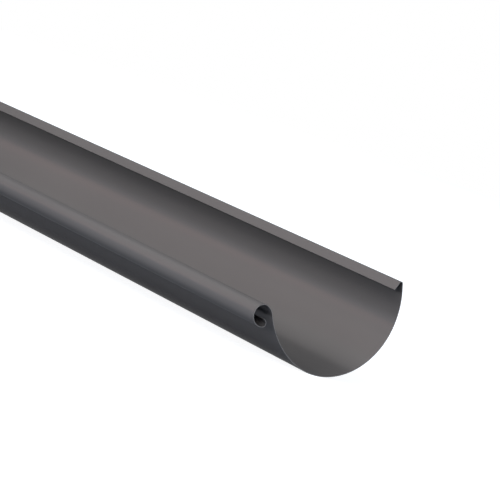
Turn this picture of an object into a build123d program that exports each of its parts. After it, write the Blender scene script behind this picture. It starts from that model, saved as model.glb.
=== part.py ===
# Half-round roof gutter: one length of coated steel strip, roll-formed to a single section.
#
# The section is drawn upright, with the wall side at +Y, the bead at -Y and the trough's arc
# centred on the origin. It is then leaned to the angle at which a loose length comes to rest
# on its round underside, and carried along X. The origin ends up under the middle of the
# length, on the floor, halfway across the width.
#
# The line that is drawn is the face of the sheet inside the trough. It starts at the tip of
# the rear fold, drops into the trough, climbs the front and ends at the lip curled up inside
# the bead, and the other face follows it one sheet thickness away. Sizes are in millimetres
# and angles in degrees. A lean is a wall's angle from upright, opening outwards.
import os
from math import atan2, cos, degrees, radians, sin

from build123d import *

length = 2000.0
sheet = 0.6

# the trough's round bottom and its two flanks, which open a little wider than a half circle
trough_radius = 63.5
front_flank_radius = 79.0
front_flank_foot_lean = 45.0
front_flank_head_lean = 5.3
rear_flank_radius = 73.0
rear_flank_foot_lean = 32.0

# the rear edge: a short wall, a tight bend and a flat fold that points into the trough
rear_wall_lean = 2.4
rear_wall_height = 5.6
rear_bend_radius = 1.4
rear_bend_turn = 138.0
rear_fold_width = 7.7

# the front bead, an open roll: the first four radii follow its outer face
bead_shoulder_radius = 13.1
bead_shoulder_turn = 42.0
bead_crown_radius = 8.7
bead_crown_turn = 100.0
bead_belly_radius = 10.6
bead_belly_turn = 117.0
bead_curl_radius = 3.0
bead_curl_turn = 107.0
bead_lip_radius = 9.5
bead_lip_turn = 22.0


def section_runs():
    """The drawn face from the fold's tip to the bead's lip, run by run, as (size, turn).

    A bend's size is its radius, and its turn is positive where it bends to the left.
    A flat run's size is its width, and its turn is zero.
    """
    return {
        "rear fold": (rear_fold_width, 0),
        "rear bend": (rear_bend_radius, -rear_bend_turn),
        "rear wall": (rear_wall_height, 0),
        "rear flank": (rear_flank_radius, rear_wall_lean - rear_flank_foot_lean),
        "trough": (trough_radius, rear_flank_foot_lean + front_flank_foot_lean - 180),
        "front flank": (front_flank_radius, front_flank_head_lean - front_flank_foot_lean),
        "bead shoulder": (bead_shoulder_radius, bead_shoulder_turn),
        "bead crown": (bead_crown_radius, bead_crown_turn),
        "bead belly": (bead_belly_radius, bead_belly_turn),
        "bead curl": (bead_curl_radius, bead_curl_turn),
        "bead lip": (bead_lip_radius, bead_lip_turn),
    }


def along(heading):
    """Unit step in the section's plane, for a heading counted from +Y towards +Z."""
    return Vector(cos(radians(heading)), sin(radians(heading)))


def sheet_face(depth):
    """The edges, by run, of the face that lies `depth` behind the drawn one."""
    heading = rear_bend_turn - rear_wall_lean - 90
    point = along(heading + 90) * depth
    edges = {}
    for run, (size, turn) in section_runs().items():
        if turn == 0:
            edges[run] = PolarLine(point, size, heading)
        else:
            radius = size - depth if turn > 0 else size + depth
            edges[run] = JernArc(point, along(heading), radius, turn)
        point = edges[run] @ 1
        heading += turn
    return edges


def upright_section():
    """The closed section of the sheet, with the trough's arc centred on the origin."""
    inner, outer = sheet_face(0), sheet_face(sheet)
    fold_tip = Line(inner["rear fold"] @ 0, outer["rear fold"] @ 0)
    lip_tip = Line(inner["bead lip"] @ 1, outer["bead lip"] @ 1)
    centre = inner["trough"].arc_center
    return Pos(-centre.X, -centre.Y) * make_face([*inner.values(), *outer.values(), fold_tip, lip_tip])


def rest_lean(section):
    """Angle that hangs the section's centre of area straight below the trough's centre."""
    centre = section.center()
    return degrees(atan2(-centre.X, -centre.Y))


def gutter():
    """The whole length, lying on the floor as it comes to rest."""
    upright = upright_section()
    leaned = Rot(0, 0, rest_lean(upright)) * upright
    solid = extrude(Plane.YZ * leaned, length)
    box = solid.bounding_box()
    return Pos(-box.center().X, -box.center().Y, -box.min.Z) * solid


os.makedirs("parts", exist_ok=True)
export_step(gutter(), "parts/gutter.step")
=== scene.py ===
from math import pi, radians

import bpy
import numpy as np
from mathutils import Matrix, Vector


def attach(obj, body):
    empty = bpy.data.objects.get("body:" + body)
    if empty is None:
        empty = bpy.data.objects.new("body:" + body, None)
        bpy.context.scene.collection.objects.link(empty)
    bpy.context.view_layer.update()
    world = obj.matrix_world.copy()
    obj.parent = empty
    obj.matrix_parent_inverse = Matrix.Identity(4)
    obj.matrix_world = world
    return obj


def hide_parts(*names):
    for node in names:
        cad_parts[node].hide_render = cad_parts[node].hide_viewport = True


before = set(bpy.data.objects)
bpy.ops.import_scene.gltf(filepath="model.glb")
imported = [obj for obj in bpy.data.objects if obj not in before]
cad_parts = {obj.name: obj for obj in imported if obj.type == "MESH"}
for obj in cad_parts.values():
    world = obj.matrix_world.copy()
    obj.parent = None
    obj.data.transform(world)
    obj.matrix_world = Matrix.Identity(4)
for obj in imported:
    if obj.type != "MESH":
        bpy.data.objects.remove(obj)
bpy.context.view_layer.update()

print("frame loaded:", ", ".join(sorted(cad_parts)))


# A long lens that looks along the gutter from beyond its near end. It is rolled, because the
# photographed length stands upright and this one lies leaned.
photoCamera = {
    "place": (2.7150, -1.3445, 0.2397),
    "turn": (85.633, -19.500, 55.468),  # tilt, roll and heading
    "lens": 185.84,
}


def makeCamera(look):
    data = bpy.data.cameras.new("photoCamera")
    data.lens = look["lens"]
    camera = bpy.data.objects.new("photoCamera", data)
    camera.location = look["place"]
    camera.rotation_euler = [radians(angle) for angle in look["turn"]]
    bpy.context.collection.objects.link(camera)
    bpy.context.scene.camera = camera


makeCamera(photoCamera)
print("camera placed")


# The strip of coated steel and the rolls it went through. A run is (size, turn): a bend's radius
# on the strip's first face and its turn in degrees to the left, or a flat's width and no turn.
gutterSheet = {
    "length": 2.0,
    "thickness": 0.0006,
    "startHeading": 45.6,  # the first run's angle from y towards z, before the lean
    "runs": [
        (0.0077, 0),       # rear fold, from its tip
        (0.0014, -138),    # rear bend
        (0.0056, 0),       # rear wall
        (0.073, -29.6),    # rear flank
        (0.0635, -103),    # trough
        (0.079, -39.7),    # front flank
        (0.0131, 42),      # bead shoulder
        (0.0087, 100),     # bead crown
        (0.0106, 117),     # bead belly
        (0.003, 107),      # bead curl
        (0.0095, 22),      # bead lip, to its tip
    ],
    "lean": 23.2602,       # a loose length rests on its round underside, tipped towards the bead
    "edgeRound": 0.00012,  # corners of the two slit edges
    "endRound": 0.00008,   # corners of the two cut ends
    "roundRows": 3,        # rows of points in each of these corners
    "turnStep": 4.0,       # at most this many degrees between two rows across the strip
    "widthStep": 0.002,    # and at most this many metres
    "lengthStep": 0.05,    # between two columns along the length
    "bakeMap": {           # shares of the map's width and height, but the least step is in metres
        "margin": 0.01,
        "sidesHeight": 0.9,
        "endStarts": (0.93, 0.96),
        "endHeight": 0.02,
        "leastStep": 0.001,
    },
}


# Start of each run, how far it bends in a metre, and its first heading.
def stripRuns(sheet):
    size, turn = np.array(sheet["runs"]).T
    turn = np.radians(turn)
    width = np.where(turn == 0, size, size * np.abs(turn))
    heading = radians(sheet["startHeading"]) + np.cumsum(turn) - turn
    return width, np.cumsum(width) - width, turn / width, heading


# A step s along a run is s sinc(b s / 2) exp i(h + b s / 2), for its bend b and heading h.
# The section's plane is complex: y is the real part and z the imaginary.
def runStep(s, bend, heading):
    return s * np.sinc(bend * s / 2 / pi) * np.exp(1j * (heading + bend * s / 2))


# Place and heading of the first face at s across the strip: the runs before s, then a part of one.
def stripFace(sheet, s):
    width, first, bend, heading = stripRuns(sheet)
    steps = runStep(width, bend, heading)
    run = np.clip(np.searchsorted(first, s, side="right") - 1, 0, len(width) - 1)
    along = s - first[run]
    place = (np.cumsum(steps) - steps)[run] + runStep(along, bend[run], heading[run])
    return place, heading[run] + bend[run] * along


# Rows across the strip: every run is cut evenly, finely enough for both its turn and its width.
def stripRows(sheet):
    width, first, bend, _ = stripRuns(sheet)
    turned = np.degrees(np.abs(bend)) * width
    count = np.ceil(np.maximum(turned / sheet["turnStep"], width / sheet["widthStep"])).astype(int)
    run = np.repeat(np.arange(len(count)), count)
    share = (np.arange(len(run)) - (np.cumsum(count) - count)[run]) / count[run]
    return np.append(first[run] + share * width[run], width.sum())


# The same stations with a quarter round of radius r at each end: one that is tilted by a stands
# r sin a out from the round's start, and r (1 - cos a) below the face.
def roundedEnds(stations, r, rows):
    tilt = np.linspace(0, pi / 2, rows)
    low = stations[0] + r * (1 - np.sin(tilt[::-1]))
    high = stations[-1] - r * (1 - np.sin(tilt))
    middle = stations[1:-1]
    return np.concatenate([low, middle, high]), np.concatenate([-tilt[::-1], 0 * middle, tilt])


# The flat strip is a thin box with rounded edges. Its rows go round the section, at s across and
# d through the sheet, and its columns go along x. The end columns draw each row in along the
# row's normal. Rolling puts (s, d) at face(s) + i d exp ih, and turns the normals by h.
def gutterGrid(sheet):
    s, tilt = roundedEnds(stripRows(sheet), sheet["edgeRound"], sheet["roundRows"])
    d = sheet["edgeRound"] * (1 - np.cos(tilt))
    s, d = np.append(s, s[::-1]), np.append(d, sheet["thickness"] - d[::-1])
    out = np.append(np.sin(tilt) - 1j * np.cos(tilt), (np.sin(tilt) + 1j * np.cos(tilt))[::-1])

    half = sheet["length"] / 2
    columns = np.linspace(-half, half, round(sheet["length"] / sheet["lengthStep"]) + 1)
    x, endTilt = roundedEnds(columns, sheet["endRound"], sheet["roundRows"])
    drawn = sheet["endRound"] * (1 - np.cos(endTilt))[:, None]
    s, d = s - drawn * out.real, d - drawn * out.imag

    place, heading = stripFace(sheet, s)
    leaned = np.exp(1j * radians(sheet["lean"]))
    place = (place + 1j * d * np.exp(1j * heading)) * leaned
    place -= (place.real.min() + place.real.max()) / 2 + 1j * place.imag.min()
    normal = out * np.exp(1j * heading) * leaned * np.cos(endTilt)[:, None]
    x, nx = x[:, None] + 0 * s, np.sin(endTilt)[:, None] + 0 * s
    points = np.stack([x, place.real, place.imag], 2)
    normals = np.stack([nx, normal.real, normal.imag], 2)
    return points, normals, s, np.append(tilt, tilt[::-1]), endTilt


# Quads from row i and column j to the next ones, then quads from face to face over both cut ends.
# A quad is cut steel where one of its corners is tilted. The map unrolls the ring of rows upwards
# and the length sideways, with no step narrower than the least one, so that thin edges and tight
# bends keep some room. The cut ends lie above them as two strips.
def gutterFaces(points, tilt, endTilt, layout):
    columns, rows = points.shape[:2]
    j, i = np.divmod(np.arange((columns - 1) * rows), rows)
    j, i = j[:, None] + [0, 0, 1, 1], i[:, None] + [0, 1, 1, 0]
    sides = j * rows + i % rows
    cut = (tilt[i % rows] != 0).any(1) | (endTilt[j] != 0).any(1)
    ring = points[columns // 2]
    rowGap = np.linalg.norm(np.roll(ring, -1, 0) - ring, axis=1)
    columnGap = np.diff(points[:, 0, 0])
    up = np.append(0, np.cumsum(np.maximum(rowGap, layout["leastStep"])))
    along = np.append(0, np.cumsum(np.maximum(columnGap, layout["leastStep"])))
    low, wide = layout["margin"], 1 - 2 * layout["margin"]
    sideways = low + wide * along[j] / along[-1]
    upwards = low + layout["sidesHeight"] * up[i] / up[-1]

    k = np.arange(rows // 2 - 1)[:, None]
    cap = np.hstack([k, k + 1, rows - 2 - k, rows - 1 - k])
    share = np.minimum(cap, rows - 1 - cap) / (rows // 2 - 1)
    capMap = np.stack([low + wide * share, layout["endHeight"] * (cap < rows // 2)], 2)
    first, second = [[0, start] for start in layout["endStarts"]]

    faces = np.concatenate([sides, cap + (columns - 1) * rows, cap[:, ::-1]])
    cut = np.append(cut, np.ones(2 * len(cap), bool))
    unrolled = [np.stack([sideways, upwards], 2), capMap + first, capMap[:, ::-1] + second]
    return faces, cut, np.concatenate(unrolled)


# The sheet as one closed mesh, with its bake map, its place across the strip and true normals.
def makeGutterSheet(sheet, coated, cutEdge):
    points, normals, across, tilt, endTilt = gutterGrid(sheet)
    faces, cut, unrolled = gutterFaces(points, tilt, endTilt, sheet["bakeMap"])
    mesh = bpy.data.meshes.new("gutterSheet")
    mesh.from_pydata(points.reshape(-1, 3), [], faces.tolist())
    mesh.polygons.foreach_set("use_smooth", np.ones(len(faces), bool))
    mesh.polygons.foreach_set("material_index", cut.astype(np.int32))
    mesh.uv_layers.new(name="OFBake").uv.foreach_set("vector", unrolled.astype(np.float32).ravel())
    stored = mesh.attributes.new("acrossStrip", "FLOAT", "POINT").data
    stored.foreach_set("value", across.astype(np.float32).ravel())
    mesh.normals_split_custom_set_from_vertices(normals.reshape(-1, 3).tolist())
    mesh.materials.append(coated)
    mesh.materials.append(cutEdge)
    piece = bpy.data.objects.new("gutterSheet", mesh)
    bpy.context.collection.objects.link(piece)
    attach(piece, "root")
    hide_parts("gutter")


# Shader helpers: a node with its values and settings, and a node group with named sockets, where
# an input that has no value is a vector.
def addNode(tree, kind, values={}, **settings):
    made = tree.nodes.new("ShaderNode" + kind)
    for name, value in settings.items():
        setattr(made, name, value)
    for name, value in values.items():
        made.inputs[name].default_value = value
    return made


def newGroup(name, inputs, outputs):
    tree = bpy.data.node_groups.new(name, "ShaderNodeTree")
    for label, value in inputs.items():
        kind = "NodeSocketVector" if value is None else "NodeSocketFloat"
        socket = tree.interface.new_socket(name=label, in_out="INPUT", socket_type=kind)
        if value is not None:
            socket.default_value = value
    for label in outputs:
        tree.interface.new_socket(name=label, in_out="OUTPUT", socket_type="NodeSocketFloat")
    return tree, tree.nodes.new("NodeGroupInput").outputs, tree.nodes.new("NodeGroupOutput").inputs


# Coating skin: a soft orange peel and a finer grain, each of them noise times a height in metres
# and both added up, and a tone that drifts slowly over the sheet.
def makeCoatSkin():
    tree, given, out = newGroup(
        "coatSkin",
        {
            "Place": None,
            "Peel Size": 0.0014,
            "Peel Height": 0.000005,
            "Grain Size": 0.0003,
            "Grain Height": 0.000002,
            "Drifts Per Metre": 4,
        },
        ["Height", "Tone"],
    )
    heights = []
    for size, height, detail in (("Peel Size", "Peel Height", 1), ("Grain Size", "Grain Height", 0)):
        scale = addNode(tree, "Math", {0: 1}, operation="DIVIDE")  # one over the size
        noise = addNode(tree, "TexNoise", {"Detail": detail})
        amount = addNode(tree, "Math", operation="MULTIPLY")
        tree.links.new(given[size], scale.inputs[1])
        tree.links.new(given["Place"], noise.inputs["Vector"])
        tree.links.new(scale.outputs[0], noise.inputs["Scale"])
        tree.links.new(noise.outputs["Fac"], amount.inputs[0])
        tree.links.new(given[height], amount.inputs[1])
        heights.append(amount.outputs[0])
    both = addNode(tree, "Math", operation="ADD")
    tree.links.new(heights[0], both.inputs[0])
    tree.links.new(heights[1], both.inputs[1])
    tree.links.new(both.outputs[0], out["Height"])
    drift = addNode(tree, "TexNoise", {"Detail": 3})
    tree.links.new(given["Place"], drift.inputs["Vector"])
    tree.links.new(given["Drifts Per Metre"], drift.inputs["Scale"])
    tree.links.new(drift.outputs["Fac"], out["Tone"])
    return tree


# Roll lines: noise that is stretched along the length, so it only changes across the strip.
def makeRollLines():
    tree, given, out = newGroup(
        "rollLines",
        {"Place": None, "Across": 0, "Lines Per Metre": 600, "Line Height": 0.0000008},
        ["Height", "Streak"],
    )
    split = addNode(tree, "SeparateXYZ")
    packed = addNode(tree, "Math", operation="MULTIPLY")
    place = addNode(tree, "CombineXYZ")
    noise = addNode(tree, "TexNoise", {"Scale": 1, "Detail": 3})
    height = addNode(tree, "Math", operation="MULTIPLY")
    tree.links.new(given["Place"], split.inputs[0])
    tree.links.new(given["Across"], packed.inputs[0])
    tree.links.new(given["Lines Per Metre"], packed.inputs[1])
    tree.links.new(split.outputs["X"], place.inputs["X"])
    tree.links.new(packed.outputs[0], place.inputs["Y"])
    tree.links.new(place.outputs[0], noise.inputs["Vector"])
    tree.links.new(noise.outputs["Fac"], height.inputs[0])
    tree.links.new(given["Line Height"], height.inputs[1])
    tree.links.new(height.outputs[0], out["Height"])
    tree.links.new(noise.outputs["Fac"], out["Streak"])
    return tree


coatedSteel = {
    "darkest": (0.093, 0.092, 0.094, 1),
    "palest": (0.107, 0.106, 0.107, 1),
    "roughness": (0.17, 0.21),
    "specular": 0,
    "metallic": 0.25,
    "edgeTint": (0.35, 0.35, 0.36, 1),  # how strongly the metal mirrors at a flat angle
}
cutSteel = {
    "darkest": (0.1, 0.1, 0.104, 1),
    "palest": (0.17, 0.17, 0.17, 1),
    "roughness": (0.4, 0.55),
    "specular": 0.3,
    "metallic": 0.5,
    "edgeTint": (0.5, 0.5, 0.5, 1),
}


# Steel with a skin and roll lines: the tone sets the colour and the streaks the roughness, and
# the two heights add up to one bump.
def makeSteel(name, finish, skin, lines, skinValues={}):
    material = bpy.data.materials.new(name)
    material.use_nodes = True
    tree = material.node_tree
    shader = tree.nodes["Principled BSDF"]
    shader.inputs["Specular IOR Level"].default_value = finish["specular"]
    shader.inputs["Specular Tint"].default_value = finish["edgeTint"]
    shader.inputs["Metallic"].default_value = finish["metallic"]
    place = addNode(tree, "TexCoord").outputs["Object"]
    across = addNode(tree, "Attribute", attribute_name="acrossStrip").outputs["Fac"]
    skinNode = addNode(tree, "Group", skinValues, node_tree=skin)
    lineNode = addNode(tree, "Group", node_tree=lines)
    tree.links.new(place, skinNode.inputs["Place"])
    tree.links.new(place, lineNode.inputs["Place"])
    tree.links.new(across, lineNode.inputs["Across"])

    # A colour mix takes its two colours on sockets 6 and 7, and gives the mixed one on output 2.
    colour = addNode(tree, "Mix", {6: finish["darkest"], 7: finish["palest"]}, data_type="RGBA")
    smoothest, roughest = finish["roughness"]
    rough = addNode(tree, "MapRange", {"To Min": smoothest, "To Max": roughest})
    height = addNode(tree, "Math", operation="ADD")
    bump = addNode(tree, "Bump", {"Strength": 1, "Distance": 1})
    tree.links.new(skinNode.outputs["Tone"], colour.inputs[0])
    tree.links.new(colour.outputs[2], shader.inputs["Base Color"])
    tree.links.new(lineNode.outputs["Streak"], rough.inputs["Value"])
    tree.links.new(rough.outputs[0], shader.inputs["Roughness"])
    tree.links.new(skinNode.outputs["Height"], height.inputs[0])
    tree.links.new(lineNode.outputs["Height"], height.inputs[1])
    tree.links.new(height.outputs[0], bump.inputs["Height"])
    tree.links.new(bump.outputs[0], shader.inputs["Normal"])
    return material


coatSkin, rollLines = makeCoatSkin(), makeRollLines()
coated = makeSteel("coatedSteel", coatedSteel, coatSkin, rollLines)
sheared = {"Peel Size": 0.0004, "Peel Height": 0.00001}  # a finer and rougher skin
cutEdge = makeSteel("cutSteel", cutSteel, coatSkin, rollLines, sheared)
makeGutterSheet(gutterSheet, coated, cutEdge)
print("gutter sheet rolled")


# The floor and the world are white to the camera and in reflections. The floor keeps the
# gutter's shadow, and lights the object only as much as a blue-grey floor does. The coat shows
# the three soft boxes past the far end, because the camera looks along the length.
studio = {
    "floorReach": 6.0,
    "floorColour": (0.31, 0.36, 0.43, 1),
    "floorWhite": 0.9,
    "ambient": (0.12, 0.16, 0.21, 1),
    "softboxes": {  # place, aim, width and height, radiance, colour
        "frontTop": ((0, -3.6, 4.6), (0, 0, 0), (6, 2), 6.4, (1, 0.98, 0.94)),
        "frontLow": ((0, -5, 0.8), (0, 0, 0.05), (6, 1.5), 5.7, (1, 0.96, 0.96)),
        "nearFront": ((4, -3.5, 2.8), (0.3, 0, 0), (3, 2), 6.2, (1, 0.92, 0.92)),
        "nearBack": ((3.6, 4.2, 1.8), (0.5, 0, 0.05), (4, 2), 2.4, (1, 1, 1)),
        "backLow": ((-1.5, 5, 1.4), (0, 0, 0.05), (6, 2), 1.8, (1, 1, 1)),
        "farLow": ((-7, -5, 0.52), (0, -5, 0.52), (4, 0.97), 2.5, (1, 0.68, 0.64)),
        "farSide": ((-7, -5, 4), (0, -5, 4), (4, 6), 1.55, (1, 0.78, 0.72)),
        "farTop": ((-7, 1, 4.75), (0, 1, 4.75), (8, 4.5), 2.0, (1, 0.92, 0.85)),
    },
}


# One for a ray from the camera, a reflection or glass, and zero for one that only lights a piece.
def seenWhite(tree):
    path = addNode(tree, "LightPath")
    first = addNode(tree, "Math", operation="MAXIMUM")
    second = addNode(tree, "Math", operation="MAXIMUM")
    tree.links.new(path.outputs["Is Camera Ray"], first.inputs[0])
    tree.links.new(path.outputs["Is Glossy Ray"], first.inputs[1])
    tree.links.new(first.outputs[0], second.inputs[0])
    tree.links.new(path.outputs["Is Transmission Ray"], second.inputs[1])
    return second.outputs[0]


# A matt blue-grey floor that also glows white where it is seen.
def makeFloor(look):
    mesh = bpy.data.meshes.new("studioFloor")
    reach = look["floorReach"]
    corners = [(-reach, -reach, 0), (reach, -reach, 0), (reach, reach, 0), (-reach, reach, 0)]
    mesh.from_pydata(corners, [], [(0, 1, 2, 3)])
    floor = bpy.data.objects.new("studioFloor", mesh)
    bpy.context.collection.objects.link(floor)
    material = bpy.data.materials.new("studioFloor")
    material.use_nodes = True
    tree = material.node_tree
    shader = tree.nodes["Principled BSDF"]
    shader.inputs["Base Color"].default_value = look["floorColour"]
    shader.inputs["Roughness"].default_value = 1
    shader.inputs["Specular IOR Level"].default_value = 0
    shader.inputs["Emission Color"].default_value = (1, 1, 1, 1)
    glow = addNode(tree, "Math", {1: look["floorWhite"]}, operation="MULTIPLY")
    tree.links.new(seenWhite(tree), glow.inputs[0])
    tree.links.new(glow.outputs[0], shader.inputs["Emission Strength"])
    mesh.materials.append(material)


# Dim, even light from all round, white where it is seen.
def makeWorld(look):
    world = bpy.data.worlds.new("studioWorld")
    bpy.context.scene.world = world
    world.use_nodes = True
    tree = world.node_tree
    colour = addNode(tree, "Mix", {6: look["ambient"], 7: (1, 1, 1, 1)}, data_type="RGBA")
    tree.links.new(seenWhite(tree), colour.inputs[0])
    tree.links.new(colour.outputs[2], tree.nodes["Background"].inputs["Color"])
    tree.nodes["Background"].inputs["Strength"].default_value = 1


# A soft box glows evenly, so its power is radiance * pi * width * height.
def makeSoftbox(name, box):
    place, aim, size, radiance, colour = box
    data = bpy.data.lights.new(name, "AREA")
    data.shape = "RECTANGLE"
    data.size, data.size_y = size
    data.energy = radiance * pi * size[0] * size[1]
    data.color = colour
    lamp = bpy.data.objects.new(name, data)
    lamp.location = place
    lamp.rotation_euler = (Vector(place) - Vector(aim)).to_track_quat("Z", "Y").to_euler()
    lamp.visible_camera = False
    bpy.context.collection.objects.link(lamp)


makeFloor(studio)
makeWorld(studio)
for name, box in studio["softboxes"].items():
    makeSoftbox(name, box)
bpy.context.scene.view_settings.view_transform = "Standard"
print("studio lit")
